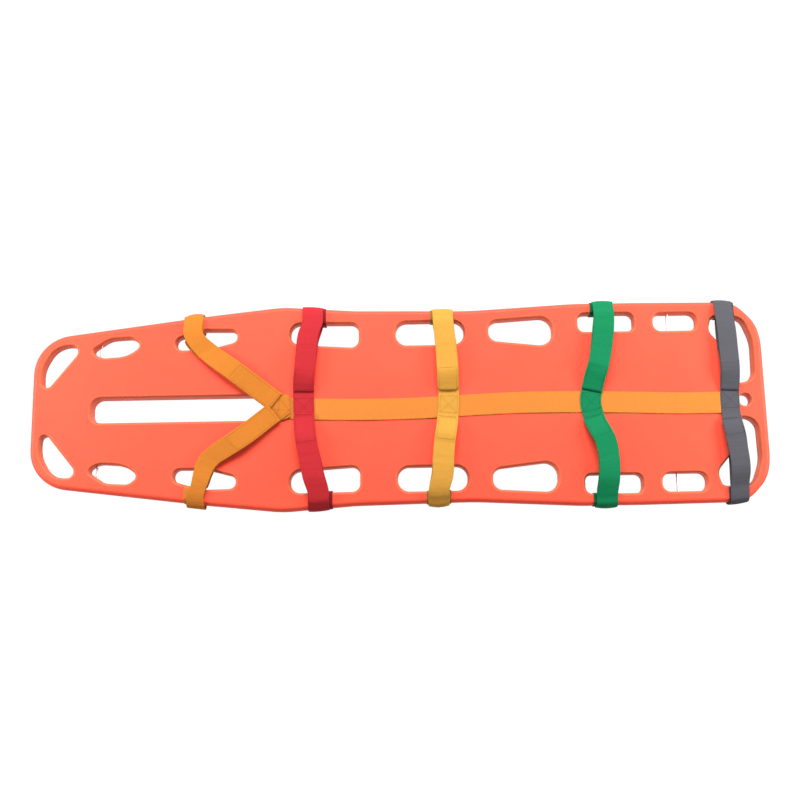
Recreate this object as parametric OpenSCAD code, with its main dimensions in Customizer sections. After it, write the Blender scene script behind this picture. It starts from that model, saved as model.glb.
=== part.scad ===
// Rigid plastic spine board with a colour-coded hook-and-loop strap harness.
// Millimetres. +X runs from the narrow end to the wide end, +Y is the side called left, +Z is up.
// The origin is on the floor below the middle of the board.

/* [Board] */
// Overall length
board_l = 1830; // [1800:1:1850]
// Height of the deck above the floor
deck_z = 50; // [48:1:56]
// Thickness of the edge rails that the hands grip
rail_t = 36; // [32:1:38]
// Height of the two runners that the board stands on
runner_h = 4; // [3:1:6]
// Wall of the moulded skin
wall = 3.5; // [2.5:0.5:4]
// Half width of the long slot on the centre line
slot_half_w = 31.5; // [25:0.5:36]

/* [Fittings] */
// Diameter of the clip pins that cross four of the hand holes
pin_d = 6; // [5:0.5:8]
// Radius of the round hole at the wide end
round_hole_r = 16; // [12:0.5:18]
// Outer diameter of the stiffener tubes in the foam
tube_d = 20; // [16:1:24]
// Wall of the stiffener tubes
tube_wall = 1.5; // [1:0.5:3]
// Radius of the plugs in the foam filling holes
plug_r = 14; // [10:1:18]

/* [Webbing] */
// Width of all the webbing
web_w = 52; // [48:1:54]
// Thickness of all the webbing
web_t = 1.8; // [1.4:0.1:2]
// Thickness of each hook or loop patch
patch_t = 1; // [0.8:0.1:1.2]
// Gap that keeps neighbouring layers apart
gap = 0.3; // [0.2:0.05:0.4]
// Height that the slack cross straps arch above the deck
crown = 16; // [8:1:22]

/* [Hidden] */
$fn = 64;

board_orange = "#ff6a45";
strap_orange = "#fc9e45";
strap_yellow = "#f6b350";
strap_red = "#d9323c";
strap_green = "#14a267";
strap_grey = "#78747f";

end_x = board_l / 2;
rail_z = deck_z - rail_t;       // underside of the rails
slack = 1;                      // how far cutting shapes overshoot

// Outline corners of one half of the board: x, y and the corner's radius
SIDE = [
    [-end_x, 184, 100], [-484, 239, 900], [-290, 260, 300], [-110, 247, 400], [180, 242, 900],
    [445, 256, 600], [597, 256, 900], [852, 253, 70], [906, 197, 95], [end_x, 148, 200]
];

// Corners of the openings along one side: x, y and the corner's radius
CORNER_HOLE = [[-889, 41, 12], [-787, 168, 16], [-859, 167, 56], [-893, 108, 80]];
HEAD_HOLE = [[-748, 133, 42], [-678, 138, 80], [-644, 166, 12], [-669, 186, 24], [-726, 183, 50],
    [-771, 153, 8]];
CHEST_HOLE = [[-270, 161, 26], [-98, 150, 20], [-98, 213, 20], [-270, 215, 26]];
HIP_HOLE = [[-5, 154, 28], [167, 154, 28], [167, 215, 28], [-5, 215, 28]];
WAIST_HOLE = [[229, 163, 24], [390, 145, 32], [390, 223, 32], [229, 213, 24]];
THIGH_HOLE = [[455, 181, 17], [596, 181, 17], [596, 228, 17], [455, 228, 17]];
SHIN_HOLE = [[645, 180, 20], [755, 180, 20], [755, 226, 20], [645, 226, 20]];
ANKLE_HOLE = [
    [846, 43, 8], [889, 48, 32], [891, 152, 100], [868, 214, 34],
    [792, 214, 14], [782, 178, 28], [826, 128, 50]
];
SLOT = [
    [-767, -slot_half_w, 25], [-300, -slot_half_w, 25],
    [-300, slot_half_w, 25], [-767, slot_half_w, 25]
];
ROUND_HOLE = [862, 0];

// Thick middle of the board and the runners under it
BELLY = [[-812, -112, 50], [775, -112, 50], [775, 112, 50], [-812, 112, 50]];
RUNNER_X = [-650, 710];
RUNNER_Y = [82, 108];
belly_z = runner_h;

// Clip pins: x, inner end and outer end in y
PIN_HEAD = [-749, 118, 190];
PIN_FOOT = [684, 165, 240];
pin_z = deck_z - 18;

TUBE_X = [-250, 760];
TUBE_Y = 90;
tube_z = rail_z + rail_t / 2;

PLUG_X = [-160, 640];
plug_t = 3;

// Plan routes of the straps' centre lines: y then x, from the right rail to the left rail
CHEST = [[-250, -198], [-200, -207], [-150, -216], [-100, -227], [-50, -234], [0, -236],
    [50, -236], [100, -232], [150, -227], [200, -221], [250, -211]];
HIP = [[-250, 93], [-200, 102], [-150, 106], [-100, 111], [-50, 119], [0, 124],
    [50, 125], [100, 124], [150, 122], [200, 118], [250, 114]];
THIGH = [[-250, 504], [-200, 512], [-150, 515], [-100, 508], [-50, 487], [0, 477],
    [50, 486], [100, 501], [150, 511], [200, 518], [250, 520]];
ANKLE = [[-250, 828], [-200, 837], [-150, 838], [-100, 832], [-50, 826], [0, 825],
    [50, 827], [100, 827], [150, 826], [200, 825], [250, 821]];

// Where each strap meets its hole and rail: inner and outer edge of the hole that it may use
CHEST_REACH = [162, 211];
HIP_REACH = [157, 214];
THIGH_REACH = [184, 227];
ANKLE_REACH = [170, 211];
YOKE_REACH = [157, 187];

// Yoke arms on the left side: x, y, and the heading of the webbing's width
YOKE_LEFT = [[-292, 2, 52], [-330, 31, 52], [-370, 62, 52], [-410, 93, 51], [-446, 120, 47],
    [-474, 142, 38]];
YOKE_RIGHT = [[-296, 4, 52], [-335, 34, 52], [-370, 62, 51], [-405, 87, 46], [-440, 109, 38],
    [-468, 130, 28]];
yoke_left_x = -514;
yoke_right_x = -502;
YOKE_LEAN = [20, 14];           // how far each yoke arm swings along the rail as it dives
yoke_turn = 15;                 // and how far it turns about the vertical
// Free ends of the cross straps' tails: distance from the centre line, left then right
CHEST_ENDS = [38, 18];
HIP_ENDS = [35, 30];
THIGH_ENDS = [28, 35];
ANKLE_ENDS = [23, 48];
yoke_tail_from = 1;             // the yoke tails end at this point of their routes
fold_inset = 10;                // the tails fold this far in from the rail's outer edge
hook_end = 95;                  // the hook patches end this far from the centre line
loop_end = 125;                 // and the loop patches this far
lip = 14;                       // a slack strap touches down this far before its hole
dive = 10;                      // and starts to dive this far before it
run_step = 8;                   // spacing of the stations along the slack runs

// ---------- outlines ----------

function unit(v) = v / norm(v);
function arc(c, r, from, to, steps) =
    [for (i = [0:steps]) let (a = from + (to - from) * i / steps) c + r * [cos(a), sin(a)]];

// One rounded corner, as points on an arc that touches both of its sides
function corner_arc(before, at, after, r, steps) =
    let (
        p = [at.x, at.y],
        u = unit([before.x, before.y] - p),
        v = unit([after.x, after.y] - p),
        half = acos(u * v) / 2,
        c = p + unit(u + v) * r / sin(half),
        start = p + u * r / tan(half) - c,
        end = p + v * r / tan(half) - c,
        from = atan2(start.y, start.x),
        turn = (atan2(end.y, end.x) - from + 900) % 360 - 180
    )
    arc(c, r, from, from + turn, steps);

function rounded(corners, steps = 6) =
    let (n = len(corners))
    [for (i = [0:n - 1])
        each corner_arc(corners[(i + n - 1) % n], corners[i], corners[(i + 1) % n],
            corners[i][2], steps)];

// The outline of a belt round two circles
function belt(a, ra, b, rb, steps = 10) =
    let (
        d = b - a,
        along = atan2(d.y, d.x),
        spread = acos((ra - rb) / norm(d))
    )
    concat(
        arc(a, ra, along + spread, along + 360 - spread, steps),
        arc(b, rb, along - spread, along + spread, steps)
    );

function mirrored(corners) =
    [for (i = [len(corners) - 1:-1:0]) [corners[i].x, -corners[i].y, corners[i][2]]];

module board_plan() {
    difference() {
        polygon(rounded(concat(mirrored(SIDE), SIDE)));
        for (side = [1, -1])
            mirror([0, side < 0 ? 1 : 0])
                side_openings();
        polygon(rounded(SLOT));
    }
}

module side_openings() {
    for (hole = [CORNER_HOLE, HEAD_HOLE, CHEST_HOLE, HIP_HOLE, WAIST_HOLE, THIGH_HOLE, SHIN_HOLE,
            ANKLE_HOLE])
        polygon(rounded(hole));
    polygon(belt([-541, 168], 17, [-480, 177], 25));
    polygon(belt([-480, 177], 25, [-421, 184], 17));
}

module belly_plan() {
    difference() {
        polygon(rounded(BELLY));
        polygon(rounded(SLOT));
    }
}

module runners() {
    length = RUNNER_X[1] - RUNNER_X[0];
    width = RUNNER_Y[1] - RUNNER_Y[0];
    for (side = [1, -1])
        translate([RUNNER_X[0], side * (RUNNER_Y[0] + width / 2), 0])
            linear_extrude(runner_h + slack)
                polygon(belt([width / 2, 0], width / 2, [length - width / 2, 0], width / 2));
}

// ---------- board ----------

module cavity() {
    translate([0, 0, rail_z + wall])
        linear_extrude(rail_t - 2 * wall)
            offset(delta = -wall)
                difference() {
                    board_plan();
                    translate(ROUND_HOLE)
                        circle(round_hole_r);
                }
    translate([0, 0, belly_z + wall])
        linear_extrude(rail_z - belly_z)
            offset(delta = -wall)
                belly_plan();
}

module pin_shape(pin, side) {
    translate([pin[0], side * pin[1], pin_z])
        rotate([side * -90, 0, 0])
            cylinder(d = pin_d, h = pin[2] - pin[1]);
}

module pins() {
    for (pin = [PIN_HEAD, PIN_FOOT], side = [1, -1])
        pin_shape(pin, side);
}

module plug_shape(x) {
    translate([x, 0, belly_z])
        cylinder(r = plug_r, h = plug_t);
    translate([x, 0, belly_z])
        cylinder(r = plug_r / 2, h = wall + 4);
}

module tube_space(side) {
    translate([TUBE_X[0], side * TUBE_Y, tube_z])
        rotate([0, 90, 0])
            cylinder(d = tube_d, h = TUBE_X[1] - TUBE_X[0]);
}

module board_shell() {
    color(board_orange)
        difference() {
            union() {
                translate([0, 0, rail_z])
                    linear_extrude(rail_t)
                        board_plan();
                translate([0, 0, belly_z])
                    linear_extrude(rail_z - belly_z)
                        belly_plan();
                runners();
            }
            cavity();
            pins();
            translate([ROUND_HOLE.x, ROUND_HOLE.y, rail_z - slack])
                cylinder(r = round_hole_r, h = rail_t + 2 * slack);
            for (x = PLUG_X)
                plug_shape(x);
        }
}

module foam_core() {
    color("wheat")
        difference() {
            cavity();
            pins();
            for (side = [1, -1])
                tube_space(side);
            for (x = PLUG_X)
                plug_shape(x);
        }
}

module stiffener_tube(side) {
    color("silver")
        difference() {
            tube_space(side);
            translate([TUBE_X[0] - slack, side * TUBE_Y, tube_z])
                rotate([0, 90, 0])
                    cylinder(d = tube_d - 2 * tube_wall, h = TUBE_X[1] - TUBE_X[0] + 2 * slack);
        }
}

module clip_pin(pin, side) {
    color("silver")
        pin_shape(pin, side);
}

module fill_plug(x) {
    color("tomato")
        plug_shape(x);
}

// ---------- webbing ----------
// A station is [x, y, z, heading]: a point on the centre line and the direction of the width.

function place(s) = [s.x, s.y, s.z];
function along(path, i) =
    unit(place(path[min(i + 1, len(path) - 1)]) - place(path[max(i - 1, 0)]));
function across(s) = [cos(s[3]), sin(s[3]), 0];
function up_of(path, i) = unit(cross(across(path[i]), along(path, i)));

// The same path moved by d along its own normal
function raised(path, d) =
    [for (i = [0:len(path) - 1])
        let (p = place(path[i]) + d * up_of(path, i))
        [p.x, p.y, p.z, path[i][3]]];

module ribbon(path, width, thickness) {
    n = len(path);
    points = [for (i = [0:n - 1])
        let (
            c = place(path[i]),
            w = across(path[i]) * width / 2,
            t = up_of(path, i) * thickness / 2
        )
        each [c - w - t, c + w - t, c + w + t, c - w + t]];
    sides = [for (i = [0:n - 2], k = [0:3])
        let (
            a = 4 * i + k,
            b = 4 * i + (k + 1) % 4
        )
        each k == 0 ? [[a, b, a + 4], [b, b + 4, a + 4]] : [[a, b, b + 4], [a, b + 4, a + 4]]];
    ends = [[3, 2, 1, 0], [4 * n - 4, 4 * n - 3, 4 * n - 2, 4 * n - 1]];
    polyhedron(points, concat(sides, ends));
}

function flipped(path) = [for (s = path) [s.x, -s.y, s.z, -s[3]]];
function backward(path) = [for (i = [len(path) - 1:-1:0]) path[i]];

// Rail edge and its slope at a given x
function edge_y(x) = lookup(x, [[-915, 184], [-484, 239], [-290, 260], [-110, 247], [180, 242],
    [445, 256], [597, 256], [852, 253]]);
function edge_heading(x) = atan((edge_y(x + 10) - edge_y(x - 10)) / 20);

layer = web_t + gap;
first_layer = gap + web_t / 2;          // centre of the layer that hugs the rail
second_layer = first_layer + layer;     // centre of the layer over it
bend = 1.5;                             // how far each wrap cuts the rail's corners short
stack = web_t + 2 * patch_t + 3 * gap;  // from a strap's centre to its tail's centre
fold_z = deck_z + second_layer + web_t / 2;

// Section of a turn round the rail, at height d off its faces, with its corners cut off
function rail_turn(x, outer, reach, heading, d, corner) =
    let (
        low = rail_z - d,
        high = deck_z + d,
        far = outer + d,
        near = reach - d
    )
    [for (p = [[far - corner, low], [far, low + corner],
            [far, high - corner], [far - corner, high],
            [near + corner, high], [near, high - corner],
            [near, low + corner], [near + corner, low]])
        [x, p[0], p[1], heading]];

// From over the hole's inner edge down through the hole, under the rail and up to the fold.
// The webbing comes to the hole swung by lean along the rail and by turn about the vertical.
function rail_pass(x, reach, lean = 0, turn = 0) =
    let (
        outer = edge_y(x),
        heading = edge_heading(x),
        low = rail_z - second_layer,
        out = outer + second_layer
    )
    [
        [x + lean, reach[0] + 2, deck_z + web_t, heading + turn],
        [x + lean * 0.3, reach[1] - second_layer - 8, rail_z + 7, heading + turn * 0.3],
        [x, reach[1] - second_layer, rail_z - 3, heading],
        [x, reach[1] + 5, low, heading],
        [x, out - bend, low, heading],
        [x, out - bend * 0.3, low + bend * 0.3, heading],
        [x, out, low + bend, heading],
        [x, out, fold_z - web_t / 2 - bend, heading],
        [x, out - bend * 0.3, fold_z - web_t / 2 - bend * 0.3, heading],
        [x, out - bend, fold_z - web_t / 2, heading],
        [x, outer - fold_inset + gap, fold_z - web_t / 2, heading]
    ];

// Height of a slack strap's centre line between the sewn centre and the hole
function slack_z(y, inner) =
    let (
        flat = web_w / 2,
        t = min(max((y - flat) / (inner - lip - flat), 0), 1)
    )
    deck_z + first_layer + layer + crown * (1 - cos(360 * t)) / 2;

// The layers of a strap share their stations, so that they bend alike
function centre_run(route, inner, side, from, to) =
    let (between = [for (y = [ceil((from + 1) / run_step) * run_step:run_step:to - 1]) y])
    [for (y = concat([from], between, [to]))
        [lookup(side * y, route), y, slack_z(y, inner), 0]];

// Where a cross strap passes round the rail
function rail_x(route, side) = lookup(side * 240, route);

// Half of a cross strap, from the centre line out to the fold, drawn on the left side
function half_strap(route, reach, side) =
    concat(
        centre_run(route, reach[0], side, 0, reach[0] - dive),
        rail_pass(rail_x(route, side), reach)
    );

module cross_strap(route, reach, tint) {
    left = half_strap(route, reach, 1);
    right = flipped(half_strap(route, reach, -1));
    color(tint)
        ribbon(concat(backward(left), [for (i = [1:len(right) - 1]) right[i]]), web_w, web_t);
}

// The tail of a cross strap, from the fold back over the hole and along the strap
function tail_path(route, reach, side, end_y) =
    concat(
        fold_start(rail_x(route, side), reach),
        backward(raised(centre_run(route, reach[0], side, end_y, reach[0] - lip), stack))
    );

// The stretch of a tail from the fold to the hole
function fold_start(x, reach) =
    let (
        heading = edge_heading(x),
        level = fold_z - web_t / 2
    )
    [[x, edge_y(x) - fold_inset - gap, level, heading], [x, reach[1], level, heading]];

function patch_path(route, reach, side, from, to, d) =
    raised(centre_run(route, reach[0], side, from, to), d);

module on_side(side) {
    mirror([0, side < 0 ? 1 : 0, 0])
        children();
}

loop_lift = (web_t + patch_t) / 2 + gap;
hook_lift = stack - loop_lift;
patch_w = web_w - 4;

function end_of(ends, side) = ends[side > 0 ? 0 : 1];

module tail(route, reach, ends, tint, side) {
    color(tint)
        on_side(side)
            ribbon(tail_path(route, reach, side, end_of(ends, side)), web_w, web_t);
}

module hook_patch(route, reach, ends, side) {
    color("dimgray")
        on_side(side)
            ribbon(patch_path(route, reach, side, end_of(ends, side) + 4, hook_end, hook_lift),
                patch_w, patch_t);
}

module loop_patches(route, reach, ends, tint) {
    color(tint)
        for (side = [1, -1])
            on_side(side)
                ribbon(patch_path(route, reach, side, end_of(ends, side), loop_end, loop_lift),
                    patch_w, patch_t);
}

module rail_turn_of(route, reach, tint, side) {
    color(tint)
        rail_turn_ring(rail_x(route, side), reach, side);
}

module yoke_rail_turn(side) {
    color(strap_orange)
        rail_turn_ring(yoke_x(side), YOKE_REACH, side);
}

// A turn of webbing that hugs the rail under the strap
module rail_turn_ring(x, reach, side) {
    outer = edge_y(x);
    heading = edge_heading(x);
    on_side(side)
        difference() {
            turn_block(rail_turn(x, outer, reach[1], heading, gap + web_t, bend), web_w / 2);
            turn_block(rail_turn(x, outer, reach[1], heading, gap, gap), web_w / 2 + slack);
        }
}

// A block along the rail that has the given section
module turn_block(turn, half_w) {
    n = len(turn);
    w = across(turn[0]) * half_w;
    points = concat([for (s = turn) place(s) - w], [for (s = turn) place(s) + w]);
    sides = [for (i = [0:n - 1]) [n + i, n + (i + 1) % n, (i + 1) % n, i]];
    near = [for (i = [0:n - 1]) i];
    far = [for (i = [n - 1:-1:0]) n + i];
    polyhedron(points, concat(sides, [near, far]));
}

// ---------- yoke ----------

function yoke_x(side) = side > 0 ? yoke_left_x : yoke_right_x;
function yoke_route(side) = side > 0 ? YOKE_LEFT : YOKE_RIGHT;
function yoke_level(side) = deck_z + first_layer + layer * (side > 0 ? 1 : 2);

// Flat part of a yoke arm from the junction to the hole; the arms cross at the junction
function yoke_run(side) =
    let (
        route = yoke_route(side),
        level = yoke_level(side),
        steps = len(route) - 1
    )
    [for (i = [0:steps])
        [route[i].x, route[i].y,
            level + crown * 0.5 * (1 - cos(360 * max(i - 1, 0) / (steps - 1))) / 2, route[i].z]];

function yoke_arm(side) =
    concat(
        yoke_run(side),
        rail_pass(yoke_x(side), YOKE_REACH, end_of(YOKE_LEAN, side), yoke_turn)
    );

module yoke_strap(side) {
    color(strap_orange)
        on_side(side)
            ribbon(yoke_arm(side), web_w, web_t);
}

// Route points of a yoke arm from one to another, raised by d
function yoke_part(side, from, to, d) =
    let (lifted = raised(yoke_run(side), d))
    [for (i = [from:to]) lifted[i]];

module yoke_tail(side) {
    start = fold_start(yoke_x(side), YOKE_REACH);
    flat = yoke_part(side, yoke_tail_from, len(yoke_route(side)) - 1, stack);
    color(strap_orange)
        on_side(side)
            ribbon(concat(start, backward(flat)), web_w, web_t);
}

module yoke_hook_patch(side) {
    color("dimgray")
        on_side(side)
            ribbon(yoke_part(side, 1, 3, hook_lift), patch_w, patch_t);
}

module yoke_loop_patches() {
    color(strap_orange)
        for (side = [1, -1])
            on_side(side)
                ribbon(yoke_part(side, 1, 4, loop_lift), patch_w, patch_t);
}

// ---------- spine strap ----------

SPINE = [[-318, 0], [-260, -4], [-200, -7], [100, -7], [200, -2], [300, 1], [400, 1],
    [550, -2], [700, -7], [838, -7]];

module spine_strap() {
    color(strap_orange)
        ribbon([for (p = SPINE) [p.x, p.y, deck_z + first_layer, 90]], web_w, web_t);
}

// ---------- drawing ----------

board_shell();
foam_core();
stiffener_tube(1);  // stiffener_tube_left
stiffener_tube(-1);  // stiffener_tube_right
clip_pin(PIN_HEAD, 1);  // clip_pin_head_left
clip_pin(PIN_HEAD, -1);  // clip_pin_head_right
clip_pin(PIN_FOOT, 1);  // clip_pin_foot_left
clip_pin(PIN_FOOT, -1);  // clip_pin_foot_right
fill_plug(PLUG_X[0]);  // fill_plug_head
fill_plug(PLUG_X[1]);  // fill_plug_foot
spine_strap();
yoke_strap(1);  // yoke_strap_left
yoke_strap(-1);  // yoke_strap_right
cross_strap(CHEST, CHEST_REACH, strap_red);  // chest_strap
cross_strap(HIP, HIP_REACH, strap_yellow);  // hip_strap
cross_strap(THIGH, THIGH_REACH, strap_green);  // thigh_strap
cross_strap(ANKLE, ANKLE_REACH, strap_grey);  // ankle_strap
yoke_rail_turn(1);  // yoke_rail_turn_left
yoke_rail_turn(-1);  // yoke_rail_turn_right
rail_turn_of(CHEST, CHEST_REACH, strap_red, 1);  // chest_rail_turn_left
rail_turn_of(CHEST, CHEST_REACH, strap_red, -1);  // chest_rail_turn_right
rail_turn_of(HIP, HIP_REACH, strap_yellow, 1);  // hip_rail_turn_left
rail_turn_of(HIP, HIP_REACH, strap_yellow, -1);  // hip_rail_turn_right
rail_turn_of(THIGH, THIGH_REACH, strap_green, 1);  // thigh_rail_turn_left
rail_turn_of(THIGH, THIGH_REACH, strap_green, -1);  // thigh_rail_turn_right
rail_turn_of(ANKLE, ANKLE_REACH, strap_grey, 1);  // ankle_rail_turn_left
rail_turn_of(ANKLE, ANKLE_REACH, strap_grey, -1);  // ankle_rail_turn_right
yoke_tail(1);  // yoke_tail_left
yoke_tail(-1);  // yoke_tail_right
tail(CHEST, CHEST_REACH, CHEST_ENDS, strap_red, 1);  // chest_tail_left
tail(CHEST, CHEST_REACH, CHEST_ENDS, strap_red, -1);  // chest_tail_right
tail(HIP, HIP_REACH, HIP_ENDS, strap_yellow, 1);  // hip_tail_left
tail(HIP, HIP_REACH, HIP_ENDS, strap_yellow, -1);  // hip_tail_right
tail(THIGH, THIGH_REACH, THIGH_ENDS, strap_green, 1);  // thigh_tail_left
tail(THIGH, THIGH_REACH, THIGH_ENDS, strap_green, -1);  // thigh_tail_right
tail(ANKLE, ANKLE_REACH, ANKLE_ENDS, strap_grey, 1);  // ankle_tail_left
tail(ANKLE, ANKLE_REACH, ANKLE_ENDS, strap_grey, -1);  // ankle_tail_right
yoke_hook_patch(1);  // yoke_hook_patch_left
yoke_hook_patch(-1);  // yoke_hook_patch_right
hook_patch(CHEST, CHEST_REACH, CHEST_ENDS, 1);  // chest_hook_patch_left
hook_patch(CHEST, CHEST_REACH, CHEST_ENDS, -1);  // chest_hook_patch_right
hook_patch(HIP, HIP_REACH, HIP_ENDS, 1);  // hip_hook_patch_left
hook_patch(HIP, HIP_REACH, HIP_ENDS, -1);  // hip_hook_patch_right
hook_patch(THIGH, THIGH_REACH, THIGH_ENDS, 1);  // thigh_hook_patch_left
hook_patch(THIGH, THIGH_REACH, THIGH_ENDS, -1);  // thigh_hook_patch_right
hook_patch(ANKLE, ANKLE_REACH, ANKLE_ENDS, 1);  // ankle_hook_patch_left
hook_patch(ANKLE, ANKLE_REACH, ANKLE_ENDS, -1);  // ankle_hook_patch_right
yoke_loop_patches();
loop_patches(CHEST, CHEST_REACH, CHEST_ENDS, strap_red);  // chest_loop_patches
loop_patches(HIP, HIP_REACH, HIP_ENDS, strap_yellow);  // hip_loop_patches
loop_patches(THIGH, THIGH_REACH, THIGH_ENDS, strap_green);  // thigh_loop_patches
loop_patches(ANKLE, ANKLE_REACH, ANKLE_ENDS, strap_grey);  // ankle_loop_patches
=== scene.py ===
"""Looks of a plastic spine board with a colour-coded webbing harness, built round its CAD frame."""
import math

import bmesh
import bpy
import numpy as np
from mathutils import Matrix, Vector
from mathutils.geometry import convex_hull_2d


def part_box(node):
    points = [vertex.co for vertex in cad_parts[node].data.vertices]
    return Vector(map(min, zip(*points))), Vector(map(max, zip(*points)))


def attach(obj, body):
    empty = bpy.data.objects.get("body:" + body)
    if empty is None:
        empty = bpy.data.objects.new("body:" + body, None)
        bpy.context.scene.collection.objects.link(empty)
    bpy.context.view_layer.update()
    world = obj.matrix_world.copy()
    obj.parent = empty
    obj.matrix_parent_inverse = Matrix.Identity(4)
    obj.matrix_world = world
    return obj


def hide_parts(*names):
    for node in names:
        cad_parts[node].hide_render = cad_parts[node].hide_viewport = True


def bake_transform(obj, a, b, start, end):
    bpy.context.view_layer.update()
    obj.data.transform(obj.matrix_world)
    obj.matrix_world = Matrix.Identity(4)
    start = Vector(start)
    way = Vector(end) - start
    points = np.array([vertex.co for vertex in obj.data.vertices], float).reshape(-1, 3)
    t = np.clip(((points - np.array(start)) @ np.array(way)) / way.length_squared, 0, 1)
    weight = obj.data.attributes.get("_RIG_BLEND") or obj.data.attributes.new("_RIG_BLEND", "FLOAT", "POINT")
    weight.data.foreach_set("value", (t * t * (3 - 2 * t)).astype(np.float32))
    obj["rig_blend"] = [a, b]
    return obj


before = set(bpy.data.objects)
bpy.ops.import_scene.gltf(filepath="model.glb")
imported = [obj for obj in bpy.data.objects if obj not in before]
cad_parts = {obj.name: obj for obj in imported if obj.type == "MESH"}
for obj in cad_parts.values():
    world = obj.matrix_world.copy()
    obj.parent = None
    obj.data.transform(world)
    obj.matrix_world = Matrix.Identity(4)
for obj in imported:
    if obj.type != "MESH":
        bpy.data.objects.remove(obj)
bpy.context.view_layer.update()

MM = 0.001

# ---------- sizes, in millimetres, in the frame of the CAD part ----------

shell_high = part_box("board_shell")[1] / MM
END_X = round(shell_high.x)
DECK = round(shell_high.z)
FLOOR = 0.0
RUNNER_H = 4
BELLY_Z = RUNNER_H
RAIL_T = 36
RAIL_Z = DECK - RAIL_T
SKIN = 3.5
SLOT_HALF = 31.5
PLUG_R = 14
PLUG_T = 3
PLUG_X = (-160, 640)

WEB_W = 52
WEB_T = 1.8
PATCH_T = 1.2
LAYER = 2.1                       # webbing and the gap under it
HUG = 1.2                         # centre of a layer that lies on the board
OVER = HUG + LAYER                # centre of the layer over it
STACK = 4.7                       # from a strap's centre to its tail's centre
CROWN = 12                        # height of the slack arches
PRESSED = 24                      # length over which a tail's end may lie pressed down
LIP = 14                          # a slack strap touches down this far before its hole
DIVE_SWING = 1 / 65               # how far a strap swings outward in its hole, per x of its rail
HOOK_END = 95                     # the patches end this far from the centre line
LOOP_END = 125
FOLD_INSET = 10                   # the fold of a tail lies this far in from the board's side

# Rounding of the moulding's edges: width in plan and height
RIM = (11, 12)
GRIP_TOP = (6, 7)
GRIP_UNDER = (5, 6)
FLAT = 0.8                        # flat margin beside each rounded edge

# One half of the outline: x, y and the corner's radius
SIDE = [(-END_X, 184, 100), (-484, 239, 900), (-290, 260, 300), (-110, 247, 400), (180, 242, 900),
        (445, 256, 600), (597, 256, 900), (852, 253, 70), (906, 197, 95), (END_X, 148, 200)]

# Openings of one side: corners with radii, or circles with a belt round them
CORNER_HOLE = [(-889, 41, 12), (-787, 168, 16), (-859, 167, 56), (-893, 108, 80)]
HEAD_HOLE = [(-748, 133, 42), (-678, 138, 80), (-644, 166, 12), (-669, 186, 24), (-726, 183, 50),
             (-771, 153, 8)]
CHEST_HOLE = [(-270, 161, 26), (-98, 150, 20), (-98, 213, 20), (-270, 215, 26)]
HIP_HOLE = [(-5, 154, 28), (167, 154, 28), (167, 215, 28), (-5, 215, 28)]
WAIST_HOLE = [(229, 163, 24), (390, 145, 32), (390, 223, 32), (229, 213, 24)]
THIGH_HOLE = [(455, 181, 17), (596, 181, 17), (596, 228, 17), (455, 228, 17)]
SHIN_HOLE = [(645, 180, 20), (755, 180, 20), (755, 226, 20), (645, 226, 20)]
ANKLE_HOLE = [(846, 43, 8), (889, 48, 32), (891, 152, 100), (868, 214, 34), (792, 214, 14),
              (782, 178, 28), (826, 128, 50)]
YOKE_HOLE = [(-541, 168, 17), (-480, 177, 25), (-421, 184, 17)]
SLOT = [(-767, -SLOT_HALF, 25), (-300, -SLOT_HALF, 25), (-300, SLOT_HALF, 25), (-767, SLOT_HALF, 25)]
ROUND_HOLE = [(862, 0, 16)]
BELLY = [(-812, -112, 50), (775, -112, 50), (775, 112, 50), (-812, 112, 50)]
RUNNER_X = (-650, 710)
RUNNER_Y = (82, 108)

# Plan routes of the straps' centre lines: y then x
CHEST = [(-250, -198), (-200, -207), (-150, -216), (-100, -227), (-50, -234), (0, -236),
         (50, -236), (100, -232), (150, -227), (200, -221), (250, -211)]
HIP = [(-250, 93), (-200, 102), (-150, 106), (-100, 111), (-50, 119), (0, 124),
       (50, 125), (100, 124), (150, 122), (200, 118), (250, 114)]
THIGH = [(-250, 504), (-200, 512), (-150, 515), (-100, 508), (-50, 487), (0, 477),
         (50, 486), (100, 501), (150, 511), (200, 518), (250, 520)]
ANKLE = [(-250, 828), (-200, 837), (-150, 838), (-100, 832), (-50, 826), (0, 825),
         (50, 827), (100, 827), (150, 826), (200, 825), (250, 821)]
SPINE = [(-318, 0), (-260, -4), (-200, -7), (100, -7), (200, -2), (300, 1), (400, 1),
         (550, -2), (700, -7), (838, -7)]

# Yoke arms, drawn on the left side: x, y, and the heading of the webbing's width
YOKE_LEFT = [(-292, 2, 52), (-330, 31, 52), (-370, 62, 52), (-410, 93, 51), (-446, 120, 47), (-474, 142, 38)]
YOKE_RIGHT = [(-296, 4, 52), (-335, 34, 52), (-370, 62, 51), (-405, 87, 46), (-440, 109, 38), (-468, 130, 28)]

# The arms of the yoke are cut off here, over the end of the spine strap
JUNCTION_X = -270
JUNCTION_Y = 27

LEFT, RIGHT = 1, -1
SIDES = {"left": LEFT, "right": RIGHT}

# How high a slack tail stands over the rail's level: past the hook patch, at the hole, at the
# rail's inner side and near its outer side
LOW_PUFF = (15, 11.5, 7.5, 3.5)
HIGH_PUFF = (17.5, 17.5, 12, 8)
STEEP_PUFF = (17.5, 16.5, 5.5, 2)
YOKE_PUFF = (9, 6, 3)

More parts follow.
